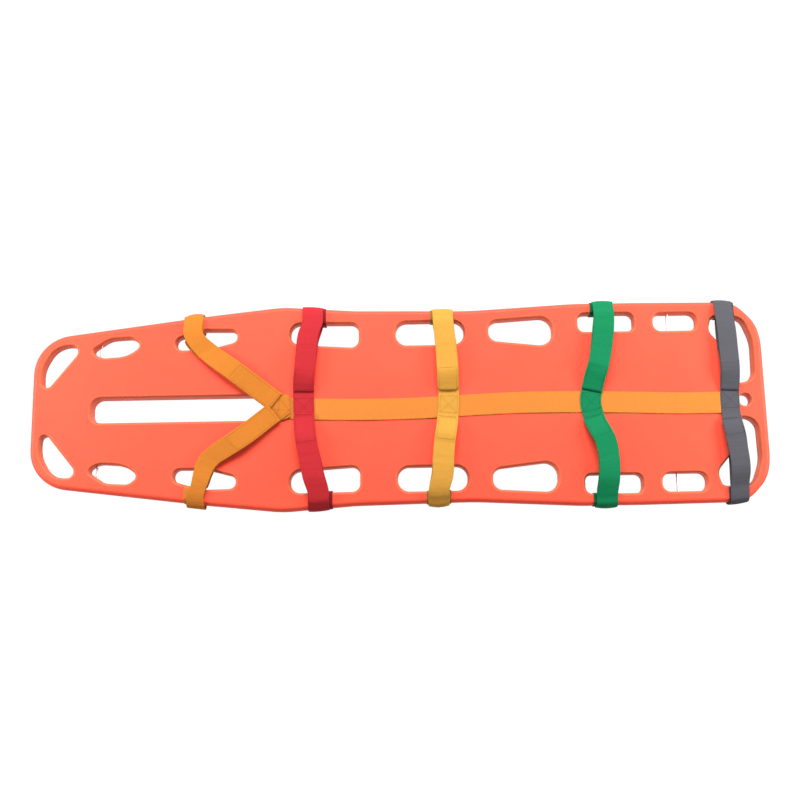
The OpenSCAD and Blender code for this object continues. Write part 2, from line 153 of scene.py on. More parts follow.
# Each cross strap. Values in pairs are given left, then right.
# inner: the near side of its hole. ends: the free ends of its tails, from the centre line.
# turn: how far the first turn round the rail stands off along it, and how much wider it lies.
# bulge: how far the tail stands off the rail's outer face. aside: how far it lies off its strap.
# press: how far its end is pressed down. corner: the rounding of its end. phase: of its ripples.
# puff: how high its right tail stands. half, shift: a narrower strap, and how far it is moved.
STRAPS = {
    "chest": dict(route=CHEST, hole=CHEST_HOLE, inner=162, ends=(38, 18), web="red_webbing",
                  turn=((7, 0), (8, 0)), bulge=(1, 1), aside=(0, 0), press=(2.6, 2.6),
                  phase=0.4, corner=(2, 2), puff=HIGH_PUFF),
    "hip": dict(route=HIP, hole=HIP_HOLE, inner=157, ends=(35, 30), web="yellow_webbing",
                turn=((-5, 1), (0, 4)), bulge=(2, 6), aside=(-2, 0), press=(1.2, 2.4),
                phase=1.9, corner=(13, 3), puff=HIGH_PUFF),
    "thigh": dict(route=THIGH, hole=THIGH_HOLE, inner=184, ends=(28, 35), web="green_webbing",
                  turn=((-7, 0), (-7, 0)), bulge=(3, 3), aside=(0, -2.5), press=(1.4, 2.4),
                  phase=3.1, corner=(2, 2), puff=STEEP_PUFF),
    "ankle": dict(route=ANKLE, hole=ANKLE_HOLE, inner=170, ends=(23, 48), web="grey_webbing",
                  turn=((5, -3), (-2, -2)), bulge=(2, 1), aside=(0, -4), press=(2.6, 2.4),
                  phase=4.6, corner=(2, 4), puff=STEEP_PUFF, half=23.5, shift=-2),
}

# Each yoke arm. x: where it passes round the rail. lean: how far it starts to dive beside that.
# sway: how far it leans back over its hole. level: layers of webbing under it.
# halves: half its width before the hole, at the rail's inner side and at its outer side.
YOKES = {
    "left": dict(route=YOKE_LEFT, x=-514, lean=20, level=0, turn=(1, -1), bulge=8, sway=0,
                 halves=(26, 24.5, 24.5)),
    "right": dict(route=YOKE_RIGHT, x=-502, lean=14, level=1, turn=(-6, -3), bulge=6, sway=8,
                  halves=(26, 19.5, 22.5)),
}

# ---------- plan outlines ----------


def corner_arc(before, at, after, radius, steps=10):
    """Points on the arc that rounds a corner and touches both of its sides."""
    p = Vector(at[:2])
    u = (Vector(before[:2]) - p).normalized()
    v = (Vector(after[:2]) - p).normalized()
    half = math.acos(max(-1, min(1, u.dot(v)))) / 2
    centre = p + (u + v).normalized() * radius / math.sin(half)
    start = p + u * radius / math.tan(half) - centre
    end = p + v * radius / math.tan(half) - centre
    first = math.atan2(start.y, start.x)
    turn = (math.atan2(end.y, end.x) - first + 5 * math.pi) % (2 * math.pi) - math.pi
    angles = [first + turn * i / steps for i in range(steps + 1)]
    return [(centre.x + radius * math.cos(a), centre.y + radius * math.sin(a)) for a in angles]


def rounded(corners):
    count = len(corners)
    points = []
    for i, corner in enumerate(corners):
        points += corner_arc(corners[i - 1], corner, corners[(i + 1) % count], corner[2])
    return points


def belt(circles, steps=72):
    """The outline of a belt round circles, each given as x, y and radius."""
    points = [(x + r * math.cos(math.tau * k / steps), y + r * math.sin(math.tau * k / steps))
              for x, y, r in circles for k in range(steps)]
    return [points[i] for i in convex_hull_2d(points)]


class Contour:
    """A closed outline, evenly spaced and counter-clockwise, with its outward normals."""

    def __init__(self, points, step):
        p = np.array(points, float)
        following = np.roll(p, -1, axis=0)
        if np.sum(p[:, 0] * following[:, 1] - following[:, 0] * p[:, 1]) < 0:
            p = p[::-1]
        closed = np.vstack([p, p[:1]])
        lengths = np.r_[0, np.cumsum(np.linalg.norm(np.diff(closed, axis=0), axis=1))]
        at = np.linspace(0, lengths[-1], max(12, round(lengths[-1] / step)), endpoint=False)
        self.points = np.column_stack([np.interp(at, lengths, closed[:, k]) for k in (0, 1)])
        along = np.roll(self.points, -1, axis=0) - np.roll(self.points, 1, axis=0)
        along /= np.linalg.norm(along, axis=1)[:, None]
        self.normals = np.column_stack([along[:, 1], -along[:, 0]])

    def ring(self, outward, z):
        moved = self.points + self.normals * outward
        return np.column_stack([moved, np.full(len(moved), float(z))])

    def span(self, x):
        """Lowest and highest y of the outline at x."""
        p = np.vstack([self.points, self.points[:1]])
        a, b = p[:-1], p[1:]
        hit = (a[:, 0] - x) * (b[:, 0] - x) <= 0
        part = (x - a[hit, 0]) / (b[hit, 0] - a[hit, 0])
        y = a[hit, 1] + part * (b[hit, 1] - a[hit, 1])
        return y.min(), y.max()


def mirrored(corners):
    return [(x, -y, r) for x, y, r in reversed(corners)]


def hole_outline(shape):
    return belt(shape) if shape in (YOKE_HOLE, ROUND_HOLE) else rounded(shape)


OUTLINE = Contour(rounded(mirrored(SIDE) + SIDE), 6)
SIDE_HOLES = [CORNER_HOLE, HEAD_HOLE, YOKE_HOLE, CHEST_HOLE, HIP_HOLE, WAIST_HOLE, THIGH_HOLE,
              SHIN_HOLE, ANKLE_HOLE]

# ---------- meshes ----------


def finish_mesh(bm, name, material, smooth=True):
    """Turns a bmesh in millimetres into an object in metres."""
    bmesh.ops.recalc_face_normals(bm, faces=bm.faces)
    mesh = bpy.data.meshes.new(name)
    bm.to_mesh(mesh)
    bm.free()
    mesh.transform(Matrix.Scale(MM, 4))
    mesh.polygons.foreach_set("use_smooth", [smooth] * len(mesh.polygons))
    mesh.materials.append(material)
    obj = bpy.data.objects.new(name, mesh)
    bpy.context.scene.collection.objects.link(obj)
    return obj


def add_ring(bm, coords):
    return [bm.verts.new(Vector(c)) for c in coords]


def bridge(bm, rings, closed=True):
    """Quads between rings of equal length, and round each ring."""
    for a, b in zip(rings, rings[1:]):
        count = len(a)
        for i in range(count if closed else count - 1):
            j = (i + 1) % count
            bm.faces.new((a[i], a[j], b[j], b[i]))


def fill(bm, loops, up=1):
    """Closes the flat area between loops that lie in one level plane."""
    edges = []
    for loop in loops:
        for a, b in zip(loop, loop[1:] + loop[:1]):
            edges.append(bm.edges.get((a, b)) or bm.edges.new((a, b)))
    bmesh.ops.triangle_fill(bm, use_beauty=True, use_dissolve=False, edges=edges, normal=(0, 0, up))


def quarter(size, top, steps=7):
    """Insets and drops of a rounded edge, from the flat to the wall or the other way."""
    a, b = size
    turns = [math.pi / 2 * i / steps for i in range(steps + 1)]
    if top:
        return [(a * (1 - math.sin(t)), b * (1 - math.cos(t))) for t in turns]
    return [(a * (1 - math.cos(t)), b * (1 - math.sin(t))) for t in turns]


def wall(bm, contour, outward, high, low, top, under, seam=False):
    """A wall between two flats with rounded edges. outward is the side that has no material."""
    profile = [(top[0] + FLAT, high)]
    profile += [(inset, high - drop) for inset, drop in quarter(top, True)]
    if seam:
        middle = (high + low) / 2
        profile += [(0, middle + 0.9), (-0.45, middle + 0.4), (-0.45, middle - 0.4), (0, middle - 0.9)]
    profile += [(inset, low + drop) for inset, drop in quarter(under, False)]
    profile += [(under[0] + FLAT, low)]
    rings = [add_ring(bm, contour.ring(-outward * inset, z)) for inset, z in profile]
    # The walls of openings are marked here, for the painted shade that the board's material puts on them.
    if outward < 0:
        grip = bm.verts.layers.float["grip"]
        for vert in (v for ring in rings[1:-1] for v in ring):
            vert[grip] = 1.0
    bridge(bm, rings)
    return rings[0], rings[-1]


def moulding(name, material, skin=0.0):
    """The board's outer form, or with skin the form that lies that deep inside it."""
    bm = bmesh.new()
    bm.verts.layers.float.new("grip")
    high, low, belly = DECK - skin, RAIL_Z + skin, BELLY_Z + skin

    def shrunk(size):
        return (max(size[0] - skin, 1.5), max(size[1] - skin, 1.5))

    def cut(points, step=4):
        c = Contour(points, step)
        c.points = c.points + c.normals * skin
        return c

    outer = Contour(OUTLINE.points - OUTLINE.normals * skin, 6)
    top, under = wall(bm, outer, 1, high, low, shrunk(RIM), shrunk(RIM), seam=skin == 0)
    tops, unders = [top], [under]
    for hole in SIDE_HOLES:
        for side in SIDES.values():
            outline = [(x, side * y) for x, y in hole_outline(hole)]
            top, under = wall(bm, cut(outline), -1, high, low, shrunk(GRIP_TOP), shrunk(GRIP_UNDER))
            tops.append(top)
            unders.append(under)
    top, under = wall(bm, cut(belt(ROUND_HOLE), 3), -1, high, low, (3, 3), (3, 3))
    tops.append(top)
    unders.append(under)
    top, slot_under = wall(bm, cut(rounded(SLOT)), -1, high, belly, shrunk(GRIP_TOP), (4, 4))
    tops.append(top)
    fill(bm, tops)

    # Belly: hollow at the foot of its wall, rounded at its lower edge
    edge = Contour([(p[0], p[1]) for p in Contour(rounded(BELLY), 6).ring(-skin, 0)], 6)
    foot, round_low = 4, 2
    profile = [(foot + FLAT, low)]
    profile += [(inset, low - drop) for inset, drop in quarter((foot, foot), True, 5)]
    profile += [(-inset, belly + drop) for inset, drop in quarter((round_low, round_low), False, 4)]
    profile += [(-round_low - 0.4, belly)]
    rings = [add_ring(bm, edge.ring(outward, z)) for outward, z in profile]
    bridge(bm, rings)
    fill(bm, unders + [rings[0]], -1)
    belly_loops = [slot_under, rings[-1]]
    if skin == 0:
        for side in SIDES.values():
            belly_loops.append(add_runner(bm, side))
        for x in PLUG_X:
            belly_loops.append(add_plug_seat(bm, x))
    fill(bm, belly_loops, -1)
    return finish_mesh(bm, name, material)


def add_runner(bm, side):
    half = (RUNNER_Y[1] - RUNNER_Y[0]) / 2
    y = side * (RUNNER_Y[0] + half)
    contour = Contour(belt([(RUNNER_X[0] + half, y, half), (RUNNER_X[1] - half, y, half)]), 5)
    profile = [(0, BELLY_Z)] + [(-inset, FLOOR + drop) for inset, drop in quarter((2.5, 2.5), False, 5)]
    profile += [(-3.2, FLOOR)]
    rings = [add_ring(bm, contour.ring(outward, z)) for outward, z in profile]
    bridge(bm, rings)
    fill(bm, [rings[-1]], -1)
    return rings[0]


def add_plug_seat(bm, x):
    contour = Contour(belt([(x, 0, PLUG_R + 0.4)]), 2.5)
    rings = [add_ring(bm, contour.ring(*at))
             for at in ((0.5, BELLY_Z), (0, BELLY_Z + 0.5), (0, BELLY_Z + PLUG_T + 0.3))]
    bridge(bm, rings)
    fill(bm, [rings[-1]], -1)
    return rings[0]


def lathe(name, material, centre, profile, steps=48):
    """A turned piece about a vertical axis: profile is radius and z."""
    bm = bmesh.new()
    rings = []
    for r, z in profile:
        rings.append([bm.verts.new((centre[0] + r * math.cos(math.tau * k / steps),
                                    centre[1] + r * math.sin(math.tau * k / steps), z))
                      for k in range(steps)])
    bridge(bm, rings)
    bm.faces.new(rings[0])
    bm.faces.new(rings[-1])
    return finish_mesh(bm, name, material)


# ---------- webbing ----------

# Section of the webbing: place across, from edge to edge, and height, from face to face
UPPER = [(-1, 0), (-0.985, 0.75), (-0.955, 1), (-0.9, 1), (-0.5, 1), (0, 1), (0.5, 1), (0.9, 1),
         (0.955, 1), (0.985, 0.75)]
SECTION = UPPER + [(-a, -h) for a, h in UPPER]


def unit_rows(a):
    return a / np.linalg.norm(a, axis=1)[:, None]


class Ribbon:
    """Webbing: centres, the directions of its width and its normals, station by station."""

    def __init__(self, centres, widths, normals=None, closed=False, halves=None):
        self.c = np.array(centres, float)
        self.closed = closed
        if closed:
            along = np.roll(self.c, -1, axis=0) - np.roll(self.c, 1, axis=0)
        else:
            along = np.gradient(self.c, axis=0)
        self.w = unit_rows(np.array(widths, float))
        self.n = unit_rows(np.cross(self.w, along)) if normals is None else np.array(normals, float)
        self.halves = np.full(len(self.c), WEB_W / 2) if halves is None else np.array(halves, float)
        self.curl = np.zeros(len(self.c))
        steps = np.linalg.norm(np.diff(self.c, axis=0), axis=1)
        self.s = np.r_[0, np.cumsum(steps)]

    def mirror(self, side):
        flip = np.array([1, side, 1])
        self.c, self.w, self.n = self.c * flip, self.w * flip, self.n * flip
        return self

    def pillow(self, most):
        """Draws the edges in towards the rail where the webbing passes its outer side."""
        self.curl = -most * np.maximum(0, self.n[:, 1]) ** 2
        return self

    def at(self, s, u, lift=0.0):
        """A point s along and u across, lift above the middle of the webbing, and the normal there."""
        c, w, n = (np.array([np.interp(s, self.s, a[:, k]) for k in range(3)])
                   for a in (self.c, self.w, self.n))
        return c + w * u + n * lift, n

    def mesh(self, name, material, thick=WEB_T):
        bm = bmesh.new()
        layer = bm.loops.layers.uv.new("weave")
        rings = []
        for c, w, n, half, curl in zip(self.c, self.w, self.n, self.halves, self.curl):
            rings.append(add_ring(bm, [c + w * half * a + n * (thick / 2 * h + curl * a * a)
                                       for a, h in SECTION]))
        lengths = list(self.s)
        if self.closed:
            rings.append(rings[0])
            lengths.append(lengths[-1] + np.linalg.norm(self.c[0] - self.c[-1]))
        count = len(SECTION)
        for i, (a, b) in enumerate(zip(rings, rings[1:])):
            half = self.halves[i]
            for k in range(count):
                m = (k + 1) % count
                face = bm.faces.new((a[k], a[m], b[m], b[k]))
                for loop, (p, s) in zip(face.loops, ((k, i), (m, i), (m, i + 1), (k, i + 1))):
                    loop[layer].uv = (SECTION[p][0] * half * MM, lengths[s] * MM)
        if not self.closed:
            for ring, s in ((rings[0], 0), (rings[-1], -1)):
                face = bm.faces.new(ring)
                for loop, (a, h) in zip(face.loops, SECTION):
                    loop[layer].uv = (a * self.halves[s] * MM, (lengths[s] + h) * MM)
        return finish_mesh(bm, name, material)


def joined(a, b):
    """Two ribbons that leave the same station in opposite directions, as one from end to end."""
    c, w, n = (np.vstack([x[::-1], y[1:]]) for x, y in ((a.c, b.c), (a.w, b.w), (a.n, b.n)))
    return Ribbon(c, w, n, halves=np.hstack([a.halves[::-1], b.halves[1:]]))


def smooth(table, at):
    """A smooth curve through the values of a table whose first column rises."""
    t = np.array([row[0] for row in table], float)
    v = np.array([row[1:] for row in table], float)
    slopes = np.gradient(v, t, axis=0)
    at = np.clip(np.atleast_1d(np.array(at, float)), t[0], t[-1])
    i = np.clip(np.searchsorted(t, at, "right") - 1, 0, len(t) - 2)
    h = (t[i + 1] - t[i])[:, None]
    f = ((at - t[i])[:, None]) / h
    return ((1 + 2 * f) * (1 - f) ** 2 * v[i] + f * (1 - f) ** 2 * h * slopes[i]
            + f * f * (3 - 2 * f) * v[i + 1] + f * f * (f - 1) * h * slopes[i + 1])


def through(points, step=4.0):
    """A smooth line through points, evenly sampled. Extra columns are carried along."""
    p = np.array(points, float)
    chords = np.r_[0, np.cumsum(np.linalg.norm(np.diff(p[:, :3], axis=0), axis=1))]
    table = np.column_stack([chords, p])
    dense = smooth(table, np.linspace(0, chords[-1], 400))
    lengths = np.r_[0, np.cumsum(np.linalg.norm(np.diff(dense[:, :3], axis=0), axis=1))]
    at = np.linspace(0, lengths[-1], max(3, round(lengths[-1] / step)))
    return np.column_stack([np.interp(at, lengths, dense[:, k]) for k in range(dense.shape[1])])


def smoothstep(t):
    t = min(max(t, 0.0), 1.0)
    return t * t * (3 - 2 * t)


class Rail:
    """The rail beside a hole where a strap passes round it, in a section seen along the rail."""

    def __init__(self, x, hole):
        outline = Contour(hole_outline(hole), 2)
        self.x = x
        self.inner, self.near = outline.span(x)
        self.edge = OUTLINE.span(x)[1]
        rise = OUTLINE.span(x + 12)[1] - OUTLINE.span(x - 12)[1]
        self.heading = math.degrees(math.atan2(rise, 24))

    def round_corner(self, corner, start, end, lift, steps=7, bulge=0.0):
        """Places on a rounded corner, lift above its surface: distance from the centre line, and z."""
        a, b = {"top_inner": GRIP_TOP, "low_inner": GRIP_UNDER}.get(corner, RIM)
        outer = corner.endswith("outer")
        y = self.edge - a if outer else self.near + a
        z = DECK - b if corner.startswith("top") else RAIL_Z + b
        places = []
        for angle in np.radians(np.linspace(start, end, steps)):
            normal = np.array([math.cos(angle) / a, math.sin(angle) / b])
            normal /= np.linalg.norm(normal)
            place = np.array([y + a * math.cos(angle), z + b * math.sin(angle)]) + lift * normal
            stand_off = bulge * max(0.0, normal[0]) ** 2
            places.append((place[0] + stand_off, place[1]))
        return places

    def width(self):
        h = math.radians(self.heading)
        return (math.cos(h), math.sin(h), 0)

    def seam(self):
        """Where strap and tail meet under the rail."""
        return ((self.near + self.edge) / 2, RAIL_Z - OVER)


def turn_ribbon(rail, side, shift, extra):
    """The first turn, which hugs the rail."""
    corners = (("top_inner", 90, 180), ("low_inner", 180, 270), ("low_outer", 270, 360), ("top_outer", 0, 90))
    section = []
    for corner, start, end in corners:
        section += rail.round_corner(corner, start, end, HUG)
    w = np.array(rail.width())
    centres = [np.array((rail.x, y, z)) + w * shift for y, z in section]
    halves = [WEB_W / 2 + extra] * len(centres)
    return Ribbon(centres, [w] * len(centres), closed=True, halves=halves).mirror(side)


def rail_tail(rail, bulge, heights):
    """The tail's places from its puffed part over the hole, round the rail, to the seam under it."""
    distances = (rail.near - 28, rail.near + 2, rail.edge - 17)
    places = [(y, DECK + OVER + height) for y, height in zip(distances, heights)]
    places += rail.round_corner("top_outer", 55, 0, OVER, 7, bulge)
    places += rail.round_corner("low_outer", 360, 270, OVER, 9, bulge)
    return places + [rail.seam()]


def rail_dive(rail):
    """The strap's places from the low inner corner of the rail to the seam."""
    places = [(rail.near - 7, RAIL_Z + 9)]
    places += rail.round_corner("low_inner", 232, 270, OVER, 4)
    return places + [rail.seam()]


class CrossStrap:
    """One half of a cross strap, drawn on the left side."""

    def __init__(self, name, side):
        self.spec = STRAPS[name]
        self.side = side
        self.index = 0 if side == LEFT else 1
        self.end = self.spec["ends"][self.index]
        self.press = self.spec["press"][self.index]
        self.half = self.spec.get("half", WEB_W / 2)
        self.shift = self.spec.get("shift", 0)
        x = smooth(self.spec["route"], side * 240)[0, 0]
        self.rail = Rail(x, self.spec["hole"])
        self.touch = self.spec["inner"] - LIP

    def plan_x(self, y):
        return smooth(self.spec["route"], self.side * np.atleast_1d(y))[:, 0] + self.shift

    def run(self, places, lift=0.0):
        """Centres, widths and normals of the slack run at distances from the centre line."""
        y = np.array(places, float)
        flat = WEB_W / 2
        t = np.clip((y - flat) / (self.touch - flat), 0, 1)
        free = (1 - np.cos(math.tau * t)) / 2
        phase = self.spec["phase"] + self.index
        z = DECK + OVER + CROWN * free + 0.7 * free * np.sin(y / 17 + phase)
        x = self.plan_x(y)
        c = np.column_stack([x, y, z])
        slope = (self.plan_x(y + 3) - self.plan_x(y - 3)) / 6
        turned = np.array([smoothstep((v - self.touch) / 40) for v in y])
        rail_slope = -math.tan(math.radians(self.rail.heading))
        slope = slope * (1 - turned) + rail_slope * turned
        w = unit_rows(np.column_stack([np.ones_like(y), -slope, np.zeros_like(y)]))
        along = np.gradient(c, axis=0)
        n = unit_rows(np.cross(w, along))
        roll = np.radians(3.0) * free * np.sin(y / 29 + 2 * phase)
        w, n = (w * np.cos(roll)[:, None] + n * np.sin(roll)[:, None],
                n * np.cos(roll)[:, None] - w * np.sin(roll)[:, None])
        return c + n * lift, w, n

    def stations(self, first, last, step=4.0):
        return np.linspace(first, last, max(3, round((last - first) / step) + 1))

    def after(self, start, places, swing=0):
        """Centres and widths from the end of the slack run along places given as y and z."""
        c0, w0 = start
        rail = self.rail
        aside = c0[0] - self.plan_x(c0[1])[0]
        rows = [(*c0, *w0)]
        for y, z in places:
            share = smoothstep((y - c0[1]) / max(rail.near - c0[1], 1))
            at_rail = smoothstep((y - rail.near + 30) / 30)
            x = (self.plan_x(y)[0] + aside) * (1 - at_rail) + rail.x * at_rail
            x += swing * max(0, DECK - z) / RAIL_T
            w = np.array(w0) * (1 - share) + np.array(rail.width()) * share
            rows.append((x, y, z, *w))
        return through(rows)[1:]

    def strap_half(self):
        c, w, _ = self.run(self.stations(0, self.touch))
        inner = self.rail.inner
        places = [(inner - 5, DECK + OVER - 0.3), (inner + 1, DECK + 1.6), (inner + 7, DECK - 3.5)]
        swing = self.rail.x * DIVE_SWING
        rest = self.after((c[-1], w[-1]), places + rail_dive(self.rail), swing)
        c = np.vstack([c, rest[:, :3]])
        return Ribbon(c, np.vstack([w, rest[:, 3:]]), halves=[self.half] * len(c))

    def tail(self):
        places = self.stations(self.end, HOOK_END)
        c, w, _ = self.run(places, STACK)
        c[:, 0] += self.spec["aside"][self.index]
        c[:, 2] -= self.press * np.clip(1 - (places - self.end) / PRESSED, 0, 1) ** 1.5
        bulge = self.spec["bulge"][self.index]
        puff = (LOW_PUFF, self.spec["puff"])[self.index]
        places = [(HOOK_END + 25, DECK + OVER + puff[0])] + rail_tail(self.rail, bulge, puff[1:])
        rest = self.after((c[-1], w[-1]), places)
        c = np.vstack([c, rest[:, :3]])
        w = np.vstack([w, rest[:, 3:]])
        ribbon = Ribbon(c, w)
        ribbon.halves = corner_halves(ribbon.s, self.half, self.spec["corner"][self.index])
        ribbon.pillow(0.6 * bulge + 1)
        return ribbon.mirror(self.side)

    def layer(self, first, last, lift):
        """A patch between distances from the centre line."""
        c, w, n = self.run(self.stations(first, last), lift)
        return Ribbon(c, w, n, halves=[self.half - 2] * len(c)).mirror(self.side)


def corner_halves(s, half, radius):
    """Half widths of webbing whose first end has rounded corners."""
    into = np.clip(radius - s, 0, radius)
    return half - radius + np.sqrt(np.maximum(radius ** 2 - into ** 2, 0.02 * radius))


class YokeArm:
    """One arm of the yoke, drawn on the left side."""

    def __init__(self, name):
        self.side = SIDES[name]
        self.spec = YOKES[name]
        self.rail = Rail(self.spec["x"], YOKE_HOLE)
        self.level = DECK + OVER + LAYER * self.spec["level"]

    def route(self, extend=0.0):
        """Places on the flat part of the arm: x, y, z and heading."""
        route = self.spec["route"]
        steps = len(route) - 1
        rows = []
        for i, (x, y, heading) in enumerate(route):
            t = max(i - 1, 0) / (steps - 1)
            rows.append((x, y, self.level + CROWN / 4 * (1 - math.cos(math.tau * t)), heading))
        if extend:
            h = math.radians(rows[0][3])
            rows.insert(0, (rows[0][0] + extend * math.sin(h), rows[0][1] - extend * math.cos(h),
                            self.level, rows[0][3]))
        return rows

    def ribbon(self, rows, lift=0.0, halves=None):
        line = through(rows)
        h = np.radians(line[:, 3])
        w = np.column_stack([np.cos(h), np.sin(h), np.zeros_like(h)])
        made = Ribbon(line[:, :3], w)
        made.c = made.c + made.n * lift
        made.halves[:] = halves or np.interp(line[:, 1], (115, self.rail.near, self.rail.edge),
                                             self.spec["halves"])
        return made.mirror(self.side)

    def at_rail(self, places, start):
        """Rows for places beside the rail, swung towards it from the end of the flat part."""
        rows = []
        for y, z in places:
            share = smoothstep((y - start[1]) / (self.rail.near - start[1]))
            sway = self.spec["sway"] * (1 - smoothstep((y - self.rail.near) / 20))
            rows.append((start[0] + (self.spec["x"] - start[0]) * share + sway, y, z,
                         start[3] + (self.rail.heading - start[3]) * share))
        return rows

    def strap(self):
        rows = self.route(extend=42)
        x, lean, heading = self.spec["x"], self.spec["lean"], self.rail.heading
        inner = self.rail.inner
        rows.append((x + lean * 0.95 + self.spec["sway"], inner + 5, DECK + 0.5, heading + 17))
        places = rail_dive(self.rail)
        rows.append((x - 2 + self.spec["sway"], *places[0], heading + 5))
        rows += [(x, y, z, heading) for y, z in places[1:]]
        return self.ribbon(rows)

    def tail(self):
        rows = [(x, y, z + STACK, h) for x, y, z, h in self.route()]
        rows[0] = tuple(a + (b - a) * 0.35 for a, b in zip(rows[0], rows[1]))
        places = rail_tail(self.rail, self.spec["bulge"], YOKE_PUFF)[1:]
        rows += self.at_rail(places, rows[-1])
        return self.ribbon(rows).pillow(0.8 * self.spec["bulge"])

    def layer(self, first, last, lift):
        rows = self.route()[first:last + 1]
        return self.ribbon(rows, lift, WEB_W / 2 - 2)


# ---------- stitches ----------


def stitch_line(ribbon, start, end, lift, pitch=4.2, length=3.2):
    """Stitches from start to end, both given as distance along and across the webbing."""
    start, end = np.array(start, float), np.array(end, float)
    total = np.linalg.norm(end - start)
    count = max(1, int(total / pitch))
    made = []
    for i in range(count):
        a = start + (end - start) * (i * pitch) / total
        b = start + (end - start) * (i * pitch + length) / total
        made.append([ribbon.at(*(a + (b - a) * f), lift) for f in (0, 0.25, 0.75, 1)])
    return made


def stitch_box(ribbon, s0, s1, half, lift, cross=True):
    """A sewn rectangle, with a cross in it."""
    corners = [(s0, -half), (s1, -half), (s1, half), (s0, half)]
    made = []
    for a, b in zip(corners, corners[1:] + corners[:1]):
        made += stitch_line(ribbon, a, b, lift)
    if cross:
        made += stitch_line(ribbon, corners[0], corners[2], lift)
        made += stitch_line(ribbon, corners[1], corners[3], lift)
    return made


def thread(name, material, stitches, sides=6):
    """Short lengths of thread that rise out of the webbing and dip back into it."""
    shape = ((-0.35, 0.22), (0.16, 0.42), (0.16, 0.42), (-0.35, 0.22))
    bm = bmesh.new()
    for stitch in stitches:
        along = unit_rows(np.array([stitch[-1][0] - stitch[0][0]]))[0]
        rings = []
        for (place, normal), (rise, radius) in zip(stitch, shape):
            across = np.cross(along, normal)
            centre = place + normal * rise
            rings.append(add_ring(bm, [centre + radius * (across * math.cos(a) + normal * math.sin(a))
                                       for a in np.linspace(0, math.tau, sides, endpoint=False)]))
        bridge(bm, rings)
        bm.faces.new(rings[0])
        bm.faces.new(rings[-1])
    return finish_mesh(bm, name, material)


# ---------- materials ----------


class Shader:
    """A material with a Principled shader and short ways to add nodes to it."""

    def __init__(self, name, **constants):
        self.material = bpy.data.materials.new(name)
        self.material.use_nodes = True
        self.tree = self.material.node_tree
        self.shader = self.tree.nodes["Principled BSDF"]
        for socket, value in constants.items():
            self.shader.inputs[socket.replace("_", " ")].default_value = value

    def add(self, kind, output=0, inputs=None, **settings):
        node = self.tree.nodes.new(kind)
        for key, value in settings.items():
            setattr(node, key, value)
        for key, value in (inputs or {}).items():
            self.feed(node.inputs[key], value)
        return node.outputs[output]

    def feed(self, socket, value):
        if isinstance(value, bpy.types.NodeSocket):
            self.tree.links.new(value, socket)
        else:
            socket.default_value = value

    def math(self, operation, *values):
        return self.add("ShaderNodeMath", inputs=dict(enumerate(values)), operation=operation)

    def noise(self, where, scale, detail=3.0, roughness=0.55):
        return self.add("ShaderNodeTexNoise", inputs={"Vector": where, "Scale": scale, "Detail": detail,
                                                      "Roughness": roughness})

    def spread(self, value, low, high, to_low, to_high):
        return self.add("ShaderNodeMapRange", inputs={0: value, 1: low, 2: high, 3: to_low, 4: to_high})

    def mix(self, share, a, b, blend="MIX"):
        return self.add("ShaderNodeMix", output=2, data_type="RGBA", blend_type=blend,
                        inputs={0: share, 6: a, 7: b})

    def bump(self, height, distance, strength=1.0, below=None):
        inputs = {"Height": height, "Distance": distance, "Strength": strength}
        if below is not None:
            inputs["Normal"] = below
        return self.add("ShaderNodeBump", inputs=inputs)

    def done(self, colour, roughness, normal):
        self.feed(self.shader.inputs["Base Color"], colour)
        self.feed(self.shader.inputs["Roughness"], roughness)
        self.feed(self.shader.inputs["Normal"], normal)
        return self.material


def shade(colour, factor):
    return tuple(min(1.0, c * factor) for c in colour) + (1.0,)


def plastic(name, colour, specular=0.2):
    """Satin moulded polyethylene: faint mottling, a pebbled skin, scuffs, and painted shade on the walls of
    its openings.
    """
    m = Shader(name, Specular_IOR_Level=specular)
    where = m.add("ShaderNodeTexCoord", output=3)
    clouds = m.noise(where, 9, 4)
    flecks = m.noise(where, 140, 2)
    tone = m.spread(clouds, 0.3, 0.7, 0, 1)
    base = m.mix(tone, shade(colour, 0.95), shade(colour, 1.04))
    base = m.mix(m.spread(flecks, 0.35, 0.75, 0, 0.16), base, shade(colour, 0.8))
    stretched = m.add("ShaderNodeMapping", inputs={0: where, 2: (0.1, 0.2, 0.62), 3: (1, 14, 1)})
    scratches = m.spread(m.noise(stretched, 34, 5, 0.7), 0.66, 0.74, 0, 1)
    base = m.mix(m.math("MULTIPLY", scratches, 0.16), base, shade(tuple(c + 0.12 for c in colour), 1.08))
    worn = m.spread(m.add("ShaderNodeNewGeometry", output=7), 0.52, 0.6, 0, 0.22)
    base = m.mix(m.math("MULTIPLY", worn, m.spread(flecks, 0.4, 0.6, 0.3, 1)), base, shade(colour, 1.12))
    # Painted shade on the walls of the openings: a darker, less saturated colour where the mark is set.
    grip = m.add("ShaderNodeAttribute", output=2, attribute_name="grip")
    dull = (colour[0] * 0.66, colour[1] * 1.35, colour[2] * 1.15, 1)
    base = m.mix(m.math("MULTIPLY", grip, 0.95), base, dull)
    roughness = m.math("ADD", m.spread(m.noise(where, 60, 4), 0.3, 0.7, 0.45, 0.6),
                       m.math("MULTIPLY", scratches, 0.12))
    swell = m.bump(m.noise(where, 16, 2), 0.0006, 0.5)
    pebbles = m.bump(m.noise(where, 1300, 2), 0.00006, 0.5, swell)
    return m.done(base, roughness, m.bump(scratches, 0.00005, 0.6, pebbles))


